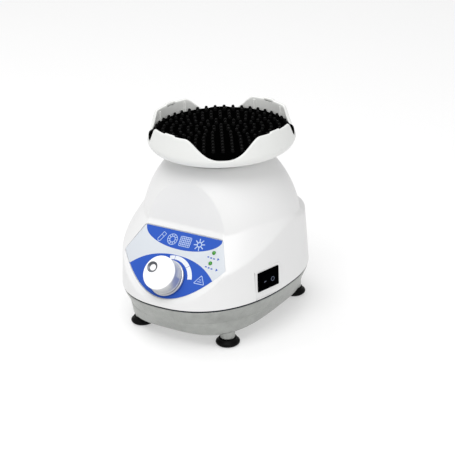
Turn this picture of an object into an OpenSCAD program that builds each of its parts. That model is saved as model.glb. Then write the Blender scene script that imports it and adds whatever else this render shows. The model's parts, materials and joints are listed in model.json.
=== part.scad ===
// Vortex mixer: a heavy cast base on four rubber feet, a domed plastic housing with an
// inclined control panel, and an orbiting tray with a studded rubber pad on top.
// Millimetres, +Z up, the front panel faces -Y, and the origin is on the table under
// the middle of the housing.

/* [Housing] */
// Width of the housing at the seam
body_w = 128; // [126:1:130]
// Length of the housing in front of its widest section
front_len = 85; // [84:0.5:86]
// Length of the housing behind its widest section
back_len = 72; // [71:0.5:74]
// Height of the seam between the base and the housing
seam_z = 34.6; // [34:0.2:35]
// Wall thickness of the housing
wall_t = 2.8; // [2.4:0.2:3]
// Largest radius of the dome
dome_w = 60.7; // [60:0.1:61]
// Height of the dome's flat top
dome_top = 125; // [124.5:0.5:125.5]

/* [Control panel] */
// Angle between the panel and the horizontal
panel_tilt = 48.8; // [48:0.2:49.6]
// Distance of the panel plane from the origin
panel_d = 81.94; // [81.6:0.02:82.4]
// Radius of the speed knob
knob_r = 12.8; // [12:0.2:13]
// Height of the speed knob above the panel
knob_h = 13.6; // [12:0.2:15]
// Length of the rocker switch frame
switch_l = 21.3; // [21:0.1:22]
// Height of the rocker switch frame
switch_h = 15; // [14.5:0.1:15.5]

/* [Drive] */
// Radius of the head's orbit
orbit_r = 2.25; // [2:0.05:2.5]
// Direction of the crank pin at rest, from +X towards +Y
crank_dir = 32; // [0:1:90]
// How far the head and motor sink when the head is pressed
touch_travel = 2; // [1.5:0.1:2.2]
// Radius of the motor shaft and the crank pin
shaft_r = 4; // [3.9:0.1:4]
// Outer radius of the motor
motor_r = 29; // [28:0.5:30]

/* [Head] */
// Largest radius of the tray
tray_r = 55; // [54:0.5:56]
// Height of the tray's lobes
lobe_z = 152.8; // [152:0.2:153.6]
// Height of the tray's rim at the bottom of a notch
notch_z = 138.5; // [138.4:0.1:139.5]
// Height of the tops of the pad's studs
pad_z = 145.2; // [144.5:0.1:145.5]
// Direction of the first notch, from the front towards the right side
notch_dir = 33.7; // [0:0.1:90]

/* [Feet] */
// Half the distance between the left and right feet
foot_x = 38; // [37:0.5:38.5]
// Position of the front feet
foot_front = -44.6; // [-46:0.2:-44]
// Position of the rear feet
foot_rear = 53.1; // [52:0.1:53.5]
// Radius of a foot
foot_r = 9; // [8:0.5:9.5]

/* [Hidden] */

// Places
knob_reach = 3.88;                        // how far the knob stands out past the housing's front
mid_y = (front_len + knob_reach - back_len) / 2;  // the widest section of the oval outline
axis_y = mid_y + 3;                       // the motor's and the dome's axis
oval_n = 2.22;                            // exponent of the oval outline at the seam
draft = 0.055;                            // how much the wall leans in per millimetre
dome_mid = 65;                            // height of the dome's widest ring
dome_h = 73.6;                            // half height of the dome's full ellipse
crank = [orbit_r * cos(crank_dir), axis_y + orbit_r * sin(crank_dir)];
panel_rim = 0.8;                          // how far the housing's rim stands above the overlay
boss_tilt = 7.6;                          // lean of the flat on the front of the dome
boss_d = 47.38;                           // distance of that flat from the origin
knob_y = -63.26;
knob_z = (panel_d + knob_y * sin(panel_tilt)) / cos(panel_tilt);
gasket_t = 0.9;
run = 0.05;                               // radial clearance of a running fit
fit = 0.05;                               // clearance around a screw in its hole

// Sides of the facets
ring_n = 72;
tray_n = 96;
$fn = 64;

// Rocker switch: the middle of its frame on the right side wall, turned towards the front
switch_turn = 14.1;
switch_corner = [58.1, -32.26];
switch_z = 40.6;
switch_mid = switch_corner + switch_l / 2 * [sin(switch_turn), cos(switch_turn)];
switch_lip = 0.7;                         // how far the frame stands out of the flat around it
switch_base = seam_z + gasket_t / 2 - switch_z - switch_h / 2;  // the flat's foot at the seam

// Control board under the panel, in panel coordinates: across, up the slope, outwards
led_places = [26.2, 18.1];
board_low = [-32, -10];
board_size = [64, 40];
board_h = -15.6;
boss_h = -7;                              // underside of the bosses that carry the board

// Mains inlet in a pocket at the back
inlet_y = 74;
inlet_z = 54;
inlet_w = 48;
pin_places = [[-7, 2], [7, 2], [0, -2.4]];  // pins, across and down from the socket's middle
inlet_h = 31;
socket_z = inlet_z + 3.2;
drawer_z = inlet_z - 8.6;

// Heights in the drive
floor_z = 14.5;
plate_z = 50;
plate_t = 3;
can_z = plate_z + plate_t;
bell_z = 98;
hub_z = 106.5;
pin_z = 118;
bearing_r = 11;
bearing_t = 7;
post_x = 30;
post_y = 30;
spring_z = 26;
bush_z = 46;
trip_x = -45;                             // plunger of the touch switch, left of the motor
trip_z = 41.4;
bracket_x = trip_x + 3.2;

// ---------------------------------------------------------------- outline functions

function smooth(a, b, x) = let (t = min(1, max(0, (x - a) / (b - a)))) t * t * (3 - 2 * t);

// Radius of the oval from its own middle, th measured from the front towards the right
function oval_r(th, inset, n) =
    let (half_y = (cos(th) > 0 ? front_len : back_len) - inset)
    pow(pow(abs(sin(th)) / (body_w / 2 - inset), n) + pow(abs(cos(th)) / half_y, n), -1 / n);

function oval_point(th, inset, n, z) =
    let (r = oval_r(th, inset, n)) [r * sin(th), mid_y - r * cos(th), z];

function oval_outline(inset) = [for (i = [0:ring_n - 1])
    let (p = oval_point(around(i, ring_n), inset, oval_n, 0)) [p[0], p[1]]];

function dome_r(z) = dome_w * sqrt(1 - pow((z - dome_mid) / dome_h, 2));

// How far out a point lies in the drafted oval: 1 is on the wall
function oval_level(x, y, z) =
    let (inset = (z - seam_z) * draft,
         half_y = (y < mid_y ? front_len : back_len) - inset)
    pow(pow(abs(x) / (body_w / 2 - inset), oval_n) + pow(abs(y - mid_y) / half_y, oval_n),
        1 / oval_n);

// Radius of the side wall from the dome's axis
function wall_r(th, z, steps = 5, r = 70) =
    steps == 0 ? r
    : wall_r(th, z, steps - 1, r / oval_level(r * sin(th), axis_y - r * cos(th), z));

// Radius of the shoulder that runs from the dome down to the side wall
function shoulder_r(th, z) =
    let (t = abs(th),
         top = 82.5 + 5.5 * smooth(80, 112, t),
         slope = 1 + 0.45 * smooth(34, 72, t) - 1.1 * smooth(85, 125, t))
    dome_r(top) + (top - z) / slope;

function plane_r(th, z, tilt, d) =
    (d + axis_y * sin(tilt) - z * cos(tilt)) / (sin(tilt) * max(0.05, cos(th)));

// The front is the inclined panel and, above it, the flat on the dome
function front_r(th, z) =
    abs(th) > 80 ? 999
    : max(plane_r(th, z, panel_tilt, panel_d + panel_rim), plane_r(th, z, 90 - boss_tilt, boss_d));

function body_r(th, z) =
    min(front_r(th, z), max(dome_r(z), min(wall_r(th, z), shoulder_r(th, z))));

function inner_r(th, z) = min(body_r(th, z), body_r(th, z + wall_t)) - 0.92 * wall_t;

function around(i, n) = i * 360 / n - 180;

function body_ring(z) = [for (i = [0:ring_n - 1])
    let (th = around(i, ring_n), r = body_r(th, z)) [r * sin(th), axis_y - r * cos(th), z]];

function inner_ring(z) = [for (i = [0:ring_n - 1])
    let (th = around(i, ring_n), r = inner_r(th, z)) [r * sin(th), axis_y - r * cos(th), z]];

function round_ring(r, z, n, centre) = [for (i = [0:n - 1])
    let (th = around(i, n)) [centre[0] + r * sin(th), centre[1] - r * cos(th), z]];

function base_ring(z, inset) =
    let (n = oval_n + 0.68 * (seam_z - z) / 23)
    [for (i = [0:ring_n - 1]) oval_point(around(i, ring_n), inset, n, z)];

function flatten(rows) = [for (row = rows) for (p = row) p];

// Triangles between ring k and ring k + 1, for rings of n points
function band(k, next, n) = [for (i = [0:n - 1])
    let (a = k * n + i, b = k * n + (i + 1) % n, c = next * n + (i + 1) % n, d = next * n + i)
    each [[a, d, c], [a, c, b]]];

// ---------------------------------------------------------------- shared modules

// A tube-like skin through the rings, joined from the last ring back to the first
module ring_loop(rings) {
    n = len(rings[0]);
    m = len(rings);
    polyhedron(points = flatten(rings),
               faces = [for (k = [0:m - 1]) each band(k, (k + 1) % m, n)]);
}

// A solid through the rings, closed by a flat face at the first and the last ring
module ring_stack(rings) {
    n = len(rings[0]);
    m = len(rings);
    polyhedron(points = flatten(rings),
               faces = concat([for (k = [0:m - 2]) each band(k, k + 1, n)],
                              [[for (i = [0:n - 1]) i]],
                              [[for (i = [0:n - 1]) m * n - 1 - i]]));
}

module on_panel() translate([0, knob_y, knob_z]) rotate([panel_tilt, 0, 0]) children();

// Along the switch: x runs to the back, y into the body, z up
module on_switch()
    translate([switch_mid[0], switch_mid[1], switch_z + switch_h / 2])
    rotate([0, 0, 90 - switch_turn])
    children();

module on_axis() translate([0, axis_y, 0]) children();
module on_crank() translate([crank[0], crank[1], 0]) children();

module tube(r_out, r_in, z, h) translate([0, 0, z]) difference() {
    cylinder(r = r_out, h = h);
    translate([0, 0, -1]) cylinder(r = r_in, h = h + 2);
}

module rod(r, z, h) translate([0, 0, z]) cylinder(r = r, h = h);

module at_feet() for (x = [-foot_x, foot_x], y = [foot_front, foot_rear]) translate([x, y, 0]) children();

module at_ballast_screws() for (y = [-28, 46]) translate([0, y, 0]) children();

module at_bracket_screws() on_axis() for (y = [-7, 7]) translate([bracket_x + 6.5, y, 0]) children();

module at_posts() on_axis() for (x = [-post_x, post_x], y = [-post_y, post_y])
    translate([x, y, 0]) children();

module box(size, low) translate(low) cube(size);

// ---------------------------------------------------------------- base

base_top = seam_z - gasket_t / 2;

// The pan: outer rings from the bottom up, then inner rings down to the floor
module base_pan() ring_stack([
    base_ring(11.5, 11), base_ring(13, 9.2), base_ring(22, 4), base_ring(33, 0.6),
    base_ring(base_top, 1), base_ring(base_top, 4.5), base_ring(20, 8.5), base_ring(floor_z, 13)
]);

module base_casting() color([0.67, 0.69, 0.68]) difference() {
    union() {
        base_pan();
        at_feet() rod(5.6, 6.2, floor_z - 6.2);
        at_feet() rod(6, floor_z - 1, base_top - floor_z - 2);
    }
    at_feet() rod(2 + fit, 0, 60);
    at_posts() rod(2.5 + fit, 0, 30);
    at_ballast_screws() rod(1.5 + fit, 10, 10);
    at_bracket_screws() rod(1.5 + fit, 10, 10);
}

module foot(x, y) color([0.06, 0.06, 0.06]) translate([x, y, 0]) rotate_extrude() polygon([
    [4.2, 0], [foot_r - 2, 0], [foot_r - 0.6, 0.8], [foot_r, 2.4], [foot_r - 0.5, 3.8],
    [foot_r - 2, 5], [6.2, 6.2], [2 + fit, 6.2], [2 + fit, 3.6], [4.2, 3.6]
]);

module foot_front_left() foot(-foot_x, foot_front);
module foot_front_right() foot(foot_x, foot_front);
module foot_rear_left() foot(-foot_x, foot_rear);
module foot_rear_right() foot(foot_x, foot_rear);

module foot_screws() color([0.75, 0.75, 0.77]) at_feet() difference() {
    union() {
        rod(3.8, 1.2, 2.4);
        rod(2, 3.5, 46.5);
    }
    translate([-2.4, -0.5, 0]) cube([4.8, 1, 2]);
    translate([-0.5, -2.4, 0]) cube([1, 4.8, 2]);
}

module seam_gasket() color([0.13, 0.14, 0.18]) translate([0, 0, seam_z - gasket_t / 2])
    linear_extrude(gasket_t) difference() {
        polygon(oval_outline(0.9));
        polygon(oval_outline(2.9));
    }

module ballast_plate() color([0.45, 0.46, 0.48]) difference() {
    box([46, 100, 6], [-23, -42, floor_z]);
    at_ballast_screws() rod(1.5 + fit, floor_z - 1, 8);
    at_power_corners() rod(1.2 + fit, floor_z - 1, 8);
}

module ballast_screws() color([0.75, 0.75, 0.77]) at_ballast_screws() {
    rod(3, floor_z + 6, 2);
    rod(1.5, floor_z - 2.5, 8.5);
}

// ---------------------------------------------------------------- housing

// The flat that the rocker switch sits on, from the seam to just above the frame
module switch_flat(y, depth) on_switch()
    box([switch_l + 4.5, depth, switch_h / 2 + 1.5 - switch_base], [-switch_l / 2 - 2.5, y, switch_base]);

module panel_outline() polygon(concat(
    [[33.7, 36.7], [-33.7, 36.7]],
    [for (u = [-43.7:4.37:43.8]) [u, -15.3 + 0.0157 * u * u]]
));

module housing_shell() color([0.95, 0.95, 0.94]) {
    bottom = seam_z + gasket_t / 2;
    outer = [bottom, 38, 44, 50, 55, 59, 63, 67, each [70:3:79], 82.3, 85, 88, each [92:4:120]];
    inner = [118, 112, 106, 100, 94, 88, 82, 76, 70, 62, 54, 46, bottom];
    difference() {
        union() {
            ring_loop(concat(
                [for (z = outer) body_ring(z)],
                [round_ring(dome_r(123), 123, ring_n, [0, axis_y]),
                 round_ring(34.5, dome_top - 0.4, ring_n, [0, axis_y]),
                 round_ring(24, dome_top, ring_n, [0, axis_y]),
                 round_ring(24, dome_top - wall_t, ring_n, [0, axis_y]),
                 round_ring(33.5, dome_top - wall_t - 0.4, ring_n, [0, axis_y])],
                [for (z = inner) inner_ring(z)]
            ));
            housing_posts();
            board_bosses();
            switch_flat(switch_lip, 5);
            box([inlet_w + 4, 3.5, inlet_h + 4],
                [-inlet_w / 2 - 2, inlet_y - 3.5, inlet_z - inlet_h / 2 - 2]);
        }
        // pocket and opening for the mains inlet
        box([inlet_w + 1, 20, inlet_h + 1], [-inlet_w / 2 - 0.5, inlet_y, inlet_z - inlet_h / 2 - 0.5]);
        box([28.6, 20, 27.6], [-14.3, inlet_y - 10, inlet_z - 13.8]);
        at_inlet_screws() rod(1.5 + fit, -5, 12);
        // flat and opening for the rocker switch
        switch_flat(switch_lip - 12, 12);
        on_switch() box([19.6, 40, 13.2], [-9.8, -12, -6.6]);
        // recess for the overlay, and the holes behind it
        on_panel() translate([0, 0, -0.8]) linear_extrude(10) panel_outline();
        on_panel() rod(3.6, -12, 20);
        for (w = led_places) on_panel() translate([29.7, w, 0]) rod(1.55 + fit, -12, 20);
        on_panel() at_board_corners() rod(1.3 + fit, -8, 4.5);
        at_feet() rod(2 + fit, 0, 52);
    }
}

// Screw posts above the feet, each with a rib that ties it to the side wall
module housing_posts() {
    at_feet() rod(5, base_top - 3, 26);
    for (s = [-1, 1], y = [foot_front, foot_rear])
        box([12, 2, 22], [s > 0 ? foot_x + 1 : -foot_x - 13, y - 1, seam_z + gasket_t / 2]);
}

module board_bosses() on_panel() at_board_corners() rod(3, boss_h, 5.5);

module neck_collar() color([0.05, 0.05, 0.05]) on_axis() rotate_extrude() polygon([
    [21.4, dome_top - 4], [23.7, dome_top - 4], [23.7, dome_top + 0.1], [30, dome_top + 0.1],
    [29, dome_top + 1.6], [24.5, dome_top + 3], [21.4, dome_top + 3.2]
]);

// ---------------------------------------------------------------- panel

module panel_overlay() color([0.23, 0.38, 0.78]) on_panel() difference() {
    translate([0, 0, -0.8]) linear_extrude(0.8) panel_inset();
    rod(3.6, -5, 10);
    for (w = led_places) translate([29.7, w, 0]) rod(1.55 + fit, -5, 10);
}

module panel_inset() polygon(concat(
    [[33.5, 36.55], [-33.5, 36.55]],
    [for (u = [-43.4:4.34:43.5]) [u, -15.1 + 0.0157 * u * u]]
));

module led(w) color([0.15, 0.6, 0.15]) on_panel() translate([29.7, w, 0]) {
    rod(1.5, -13.9, 14.1);
    rod(1.2, 0.2, 0.4);
}

module run_led() led(led_places[0]);
module touch_led() led(led_places[1]);

module at_board_corners() for (u = [-28, 28], w = [-6.5, 10]) translate([u, w, 0]) children();

module control_board() color([0.1, 0.4, 0.2]) on_panel() difference() {
    box([board_size[0], board_size[1], 1.6], [board_low[0], board_low[1], board_h]);
    at_board_corners() rod(1.3 + fit, board_h - 1, 4);
}

module board_standoffs() color([0.85, 0.72, 0.4]) on_panel() at_board_corners()
    tube(2.6, 1.3 + fit, board_h + 1.6, boss_h - board_h - 1.6);

module board_screws() color([0.75, 0.75, 0.77]) on_panel() at_board_corners() {
    rod(2.4, board_h - 1.6, 1.6);
    rod(1.3, board_h - 0.1, 11);
}

module speed_pot() color([0.3, 0.3, 0.32]) on_panel() difference() {
    union() {
        box([16, 16, 7], [-8, -8, board_h + 1.6]);
        rod(3.5, board_h + 8, 9.6);
    }
    rod(3 + run, board_h + 3, 30);
}

module pot_nut() color([0.8, 0.8, 0.82]) on_panel() difference() {
    rod(5.2, 0, 1.4);
    rod(3.5 + fit, -1, 4);
}

module pot_shaft() color([0.8, 0.8, 0.82]) on_panel() difference() {
    rod(3, board_h + 3.3, 23.6);
    box([7, 4, 12], [-3.5, 1.8, 4]);
}

module knob_body() color([0.78, 0.79, 0.8]) on_panel() difference() {
    rotate_extrude() polygon([
        [5.8, 0.5], [knob_r, 0.5], [knob_r + 0.2, 1.2], [knob_r + 0.2, 2.2], [knob_r - 0.5, 2.7],
        [knob_r - 0.5, knob_h - 2.6], [knob_r - 1, knob_h - 1.6], [0, knob_h - 1.6], [0, 3], [5.8, 3]
    ]);
    difference() {
        rod(3 + fit, -1, 12.6);
        box([7, 4, 12], [-3.5, 1.9, 4]);
    }
    translate([0, 0, 6]) rotate([-90, 0, 0]) rod(1.2 + fit, 1, 20);
}

module knob_cap() color([0.97, 0.97, 0.97]) on_panel() difference() {
    rotate_extrude() polygon([
        [0, knob_h - 1.6], [knob_r - 1, knob_h - 1.6], [knob_r - 1.3, knob_h - 0.8],
        [knob_r - 2.4, knob_h - 0.15], [knob_r - 3.4, knob_h], [0, knob_h]
    ]);
    translate([-6.2, 2.7, knob_h + 6.2]) sphere(r = 7.5);
}

module knob_set_screw() color([0.3, 0.3, 0.32]) on_panel() translate([0, 0, 6])
    rotate([-90, 0, 0])
    rod(1.2, 1.85, 6);

// ---------------------------------------------------------------- rocker switch

switch_pivot = 4;
frame_end = switch_lip + 15;

module switch_frame() color([0.08, 0.08, 0.08]) on_switch() difference() {
    union() {
        box([switch_l, switch_lip, switch_h], [-switch_l / 2, 0, -switch_h / 2]);
        box([19.2, frame_end - 0.1, 12.8], [-9.6, 0.1, -6.4]);
    }
    box([16.4, 9.5, 10.4], [-8.2, -1, -5.2]);
    translate([0, switch_pivot, 0]) rod(1 + run, -6.1, 12.2);
}

module switch_terminals() color([0.85, 0.75, 0.5]) on_switch() for (x = [-6, 6])
    box([0.8, 5, 3.6], [x - 0.4, frame_end, -1.8]);

// Two faces that meet in a shallow V, turned so that the rear half is pressed in
module switch_rocker() color([0.05, 0.05, 0.05]) on_switch()
translate([0, switch_pivot, 0]) rotate([0, 0, 6]) {
    translate([0, 0, -5]) linear_extrude(10)
        polygon([[-7.6, -4.5], [0, -3.5], [7.6, -4.5], [7.2, -0.6], [3, 2], [-3, 2], [-7.2, -0.6]]);
    rod(1, -6, 12);
}

// ---------------------------------------------------------------- mains inlet

module inlet_body() color([0.07, 0.07, 0.07]) difference() {
    union() {
        box([inlet_w, 2.6, inlet_h], [-inlet_w / 2, inlet_y, inlet_z - inlet_h / 2]);
        box([28, 22, 27], [-14, inlet_y - 22, inlet_z - 13.5]);
    }
    hull() {
        box([24, 15, 11], [-12, inlet_y - 12, socket_z - 8]);
        box([17, 15, 16], [-8.5, inlet_y - 12, socket_z - 8]);
    }
    box([18.6, 24, 6.6], [-9.3, inlet_y - 19, drawer_z - 3.3]);
    at_inlet_screws() rod(1.5 + fit, -5, 12);
    for (p = pin_places) box([4.1, 12, 2.1], [p[0] - 2.05, inlet_y - 23, socket_z - p[1] - 1.05]);
}

module inlet_pins() color([0.85, 0.83, 0.75]) for (p = pin_places)
    box([4, 22, 2], [p[0] - 2, inlet_y - 27, socket_z - p[1] - 1]);

module at_inlet_screws() for (x = [-20, 20]) translate([x, inlet_y, inlet_z]) rotate([90, 0, 0]) children();

module inlet_screws() color([0.75, 0.75, 0.77]) at_inlet_screws() {
    rod(2.7, -4.2, 1.6);
    rod(1.5, -2.7, 6);
}

module fuse_drawer() color([0.1, 0.1, 0.1]) difference() {
    union() {
        box([18, 18.4, 6], [-9, inlet_y - 15.6, drawer_z - 3]);
        box([20, 1.2, 6.4], [-10, inlet_y + 2.75, drawer_z - 3.2]);
    }
    box([16, 14, 4.5], [-8, inlet_y - 14, drawer_z - 1.4]);
}

module fuse_link() color([0.9, 0.9, 0.85]) translate([0, inlet_y - 7, drawer_z + 0.8])
    rotate([0, 90, 0])
    rod(2.1, -7.8, 15.6);

// ---------------------------------------------------------------- power supply

module at_power_corners() on_axis() for (x = [-18, 18], y = [-24, 24]) translate([x, y, 0]) children();

module power_board() color([0.1, 0.35, 0.2]) difference() {
    box([42, 54, 1.6], [-21, axis_y - 27, 26]);
    at_power_corners() rod(1.2 + fit, 25, 4);
}

module power_standoffs() color([0.85, 0.72, 0.4]) at_power_corners() {
    rod(2.4, floor_z + 6, 26 - floor_z - 6);
    rod(1.2, floor_z + 3, 4);
    rod(1.2, 25.9, 3);
}

module power_transformer() color([0.8, 0.65, 0.2]) union() {
    box([26, 24, 13], [-13, axis_y - 20, 27.6]);
    on_axis() translate([0, 14, 0]) rod(6, 27.6, 13);
}

// ---------------------------------------------------------------- touch suspension

module guide_posts() color([0.75, 0.75, 0.77]) at_posts() {
    rod(2.5, 12, 3.5);
    rod(6.5, floor_z, spring_z - floor_z);
    rod(3, spring_z - 1, 32);
}

module post_caps() color([0.7, 0.7, 0.72]) at_posts() difference() {
    rod(5.4, 56.3, 2.6);
    rod(3 + fit, 56, 1.1);
}

function coil_point(a, turns, r, wire, side, sides, z, h) =
    let (t = a * 360 * turns, q = side * 360 / sides, rr = r + wire * cos(q))
    [rr * cos(t), rr * sin(t), z + a * h + wire * sin(q)];

// A compression spring: a round wire swept along a helix
module coil(r, wire, z, h, turns) {
    steps = turns * 12;
    sides = 6;
    ring_stack([for (k = [0:steps])
        [for (s = [0:sides - 1]) coil_point(k / steps, turns, r, wire, -s, sides, z + wire, h - 2 * wire)]]);
}

module touch_springs() color([0.6, 0.6, 0.62]) at_posts() coil(4.8, 0.7, spring_z, bush_z - spring_z, 5);

// An angle plate on the floor, beside the switch that the motor plate trips
module touch_bracket() color([0.7, 0.7, 0.72]) difference() {
    union() {
        box([1.5, 22, 28], [bracket_x, axis_y - 11, floor_z]);
        box([11, 22, 1.5], [bracket_x, axis_y - 11, floor_z]);
    }
    at_bracket_screws() rod(1.5 + fit, floor_z - 1, 4);
}

module bracket_screws() color([0.75, 0.75, 0.77]) at_bracket_screws() {
    rod(2.8, floor_z + 1.5, 1.8);
    rod(1.5, floor_z - 2.5, 4.1);
}

module touch_switch() color([0.12, 0.12, 0.14]) difference() {
    box([6.4, 20, 10], [trip_x - 3.2, axis_y - 10, trip_z - 7.4]);
    translate([trip_x, axis_y, 0]) rod(1.5 + run, trip_z - touch_travel - 0.4, 6);
}

module touch_plunger() color([0.85, 0.2, 0.15]) translate([trip_x, axis_y, 0])
    rod(1.5, trip_z, plate_z - trip_z - 0.1);

// ---------------------------------------------------------------- motor

module motor_plate() color([0.62, 0.63, 0.65]) difference() {
    union() {
        on_axis() translate([0, 0, plate_z]) linear_extrude(plate_t) offset(r = 6) square(64, center = true);
        box([18, 20, plate_t], [-52, axis_y - 10, plate_z]);
        at_posts() rod(5.2, bush_z, 10);
    }
    at_posts() rod(3 + run, 40, 30);
    on_axis() rod(6, 40, 30);
    on_axis() at_can_screws() rod(1.5 + fit, 40, 30);
}

module at_can_screws() for (a = [45:90:315]) rotate([0, 0, a]) translate([22, 0, 0]) children();

module motor_screws() color([0.75, 0.75, 0.77]) on_axis() at_can_screws() {
    rod(2.8, plate_z - 2, 2);
    rod(1.5, plate_z - 0.1, 5);
}

module motor_can() color([0.25, 0.26, 0.28]) on_axis() difference() {
    rod(motor_r, can_z, bell_z - can_z);
    difference() {
        rod(motor_r - 2.5, can_z + 3, 60);
        rod(13.5, can_z, 10);
    }
    rod(bearing_r, can_z + 3, 60);
    rod(5, can_z - 1, 10);
    at_can_screws() rod(1.5 + fit, can_z - 1, 5);
}

module stator_core() color([0.4, 0.41, 0.43]) on_axis() tube(motor_r - 2.5, 17.6, 66, 26);

module stator_windings() color([0.72, 0.38, 0.16]) on_axis() {
    tube(motor_r - 4, 18.4, 63.2, 2.8);
    tube(motor_r - 4, 18.4, 92, 2.6);
}

module end_bell() color([0.62, 0.63, 0.65]) on_axis() difference() {
    union() {
        rod(motor_r, bell_z, 4);
        rod(14, 95, 10);
    }
    rod(bearing_r, 97, 10);
    rod(6, 90, 10);
}

module motor_bearing(z) color([0.82, 0.83, 0.85]) on_axis() tube(bearing_r, shaft_r + run, z, bearing_t);

module lower_bearing() motor_bearing(can_z + 3);
module upper_bearing() motor_bearing(97);

module motor_shaft() color([0.8, 0.81, 0.83]) on_axis() rod(shaft_r, can_z + 1, 116 - can_z - 1);

module rotor_core() color([0.5, 0.51, 0.53]) on_axis() tube(17, shaft_r, 67, 24);

// Along the set screw that holds the hub on the shaft
module in_hub() rotate([0, 0, crank_dir]) translate([0, 0, 111]) rotate([0, 90, 0]) children();

// The crank: a hub on the shaft with a pin beside the axis
module eccentric_hub() color([0.7, 0.71, 0.73]) difference() {
    union() {
        on_axis() rod(13, hub_z, pin_z - hub_z);
        on_crank() rod(5.6, pin_z, 2.1);
        on_crank() rod(shaft_r, pin_z, 10.4);
    }
    on_axis() rod(shaft_r, hub_z - 1, 116 - hub_z + 1);
    on_axis() in_hub() rod(2, 2, 20);
}

module counterweight() color([0.72, 0.6, 0.3]) on_axis() rotate([0, 0, crank_dir + 90]) difference() {
    tube(25, 13, hub_z + 1, 8);
    box([60, 60, 20], [-30, -60, hub_z - 2]);
}

module hub_set_screw() color([0.3, 0.3, 0.32]) on_axis() in_hub() rod(2, shaft_r, 8);

// ---------------------------------------------------------------- head

module head_bearing() color([0.82, 0.83, 0.85]) on_crank() tube(bearing_r, shaft_r + run, 120.4, bearing_t);

module at_tray_screws() for (a = [30:120:270]) rotate([0, 0, a]) translate([14.5, 0, 0]) children();

module head_hub() color([0.65, 0.66, 0.68]) on_crank() difference() {
    union() {
        rod(15, 120.4, 10.8);
        rod(18, 129, 2.2);
    }
    rod(bearing_r, 119, 8.4);
    rod(8, 119, 10.4);
    at_tray_screws() rod(1.25 + fit, 127.9, 5);
}

function lobe_top(th) =
    let (a = abs(((th - notch_dir) % 90 + 135) % 90 - 45))
    notch_z + (lobe_z - notch_z) * smooth(0, 1, pow(a / 31, 1.5)) + (a > 39.5 ? 1.2 : 0);

// A ring of the tray: a share of the way from the bowl's edge up to the wavy rim
function rim_ring(r, share) = [for (i = [0:tray_n - 1])
    let (th = around(i, tray_n), z = 138 + share * (lobe_top(th) - 138))
    [crank[0] + r * sin(th), crank[1] - r * cos(th), z]];

module tray() color([0.96, 0.96, 0.95]) difference() {
    ring_stack([
        round_ring(44, 131.2, tray_n, crank), round_ring(47.6, 131.3, tray_n, crank),
        round_ring(tray_r - 3.6, 132.6, tray_n, crank), round_ring(tray_r - 1, 135.2, tray_n, crank),
        rim_ring(tray_r, 0), rim_ring(tray_r - 0.2, 0.5), rim_ring(tray_r - 1.4, 1),
        rim_ring(tray_r - 3.4, 1), rim_ring(tray_r - 2.6, 0.5), rim_ring(tray_r - 2.6, 0),
        round_ring(tray_r - 3.2, 135.6, tray_n, crank), round_ring(tray_r - 5.6, 133.8, tray_n, crank)
    ]);
    on_crank() at_tray_screws() {
        rod(1.25 + fit, 120, 20);
        rod(2.6, 132.2, 5);
    }
}

module tray_screws() color([0.75, 0.75, 0.77]) on_crank() at_tray_screws() {
    rod(2.5, 132.25, 1.4);
    rod(1.25, 128.2, 4.2);
}

module pad() color([0.04, 0.04, 0.04]) on_crank() rotate_extrude() polygon([
    [0, 133.9], [tray_r - 6, 133.9], [tray_r - 3.8, 136], [tray_r - 3.4, 139.4],
    [tray_r - 3.6, pad_z - 2.4], [tray_r - 5, pad_z - 0.7], [tray_r - 6.4, pad_z], [0, pad_z]
]);

// ---------------------------------------------------------------- drawing

base_casting();
foot_front_left();
foot_front_right();
foot_rear_left();
foot_rear_right();
foot_screws();
seam_gasket();
housing_shell();
neck_collar();
panel_overlay();
run_led();
touch_led();
control_board();
board_standoffs();
board_screws();
speed_pot();
pot_nut();
pot_shaft();
knob_body();
knob_cap();
knob_set_screw();
switch_frame();
switch_terminals();
switch_rocker();
inlet_body();
inlet_pins();
inlet_screws();
fuse_drawer();
fuse_link();
ballast_plate();
ballast_screws();
power_board();
power_standoffs();
power_transformer();
guide_posts();
post_caps();
touch_springs();
touch_switch();
touch_bracket();
bracket_screws();
touch_plunger();
motor_plate();
motor_can();
motor_screws();
stator_core();
stator_windings();
end_bell();
lower_bearing();
upper_bearing();
motor_shaft();
rotor_core();
eccentric_hub();
counterweight();
hub_set_screw();
head_bearing();
head_hub();
tray();
tray_screws();
pad();
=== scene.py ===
# Vortex mixer: what is seen of it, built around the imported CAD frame.
# Shapes are worked out in millimetres in the CAD frame and turned into metres when a piece is made.
import json
import math

import bpy
import numpy as np
from mathutils import Matrix, Vector


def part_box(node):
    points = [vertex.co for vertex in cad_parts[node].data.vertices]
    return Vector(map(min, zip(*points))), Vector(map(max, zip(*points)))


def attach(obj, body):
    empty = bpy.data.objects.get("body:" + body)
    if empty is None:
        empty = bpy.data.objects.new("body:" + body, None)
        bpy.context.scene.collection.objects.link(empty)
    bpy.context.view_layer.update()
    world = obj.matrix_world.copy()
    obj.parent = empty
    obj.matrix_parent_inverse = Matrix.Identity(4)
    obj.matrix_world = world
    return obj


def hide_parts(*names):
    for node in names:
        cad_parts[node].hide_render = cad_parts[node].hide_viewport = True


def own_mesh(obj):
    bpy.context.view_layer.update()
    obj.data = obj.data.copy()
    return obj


MM = 0.001

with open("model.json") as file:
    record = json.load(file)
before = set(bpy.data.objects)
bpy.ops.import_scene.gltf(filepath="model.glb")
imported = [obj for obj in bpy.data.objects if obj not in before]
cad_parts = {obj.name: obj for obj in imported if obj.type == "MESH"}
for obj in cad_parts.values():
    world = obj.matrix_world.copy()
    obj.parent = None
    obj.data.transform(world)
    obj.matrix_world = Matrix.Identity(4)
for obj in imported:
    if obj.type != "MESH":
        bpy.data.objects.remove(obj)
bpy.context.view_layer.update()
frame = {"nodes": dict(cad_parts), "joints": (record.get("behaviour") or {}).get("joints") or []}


# ---------------------------------------------------------------- sizes taken from the frame

def joint(name):
    """The frame's record of a joint."""
    return next(j for j in frame["joints"] if j["name"] == name)


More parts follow.
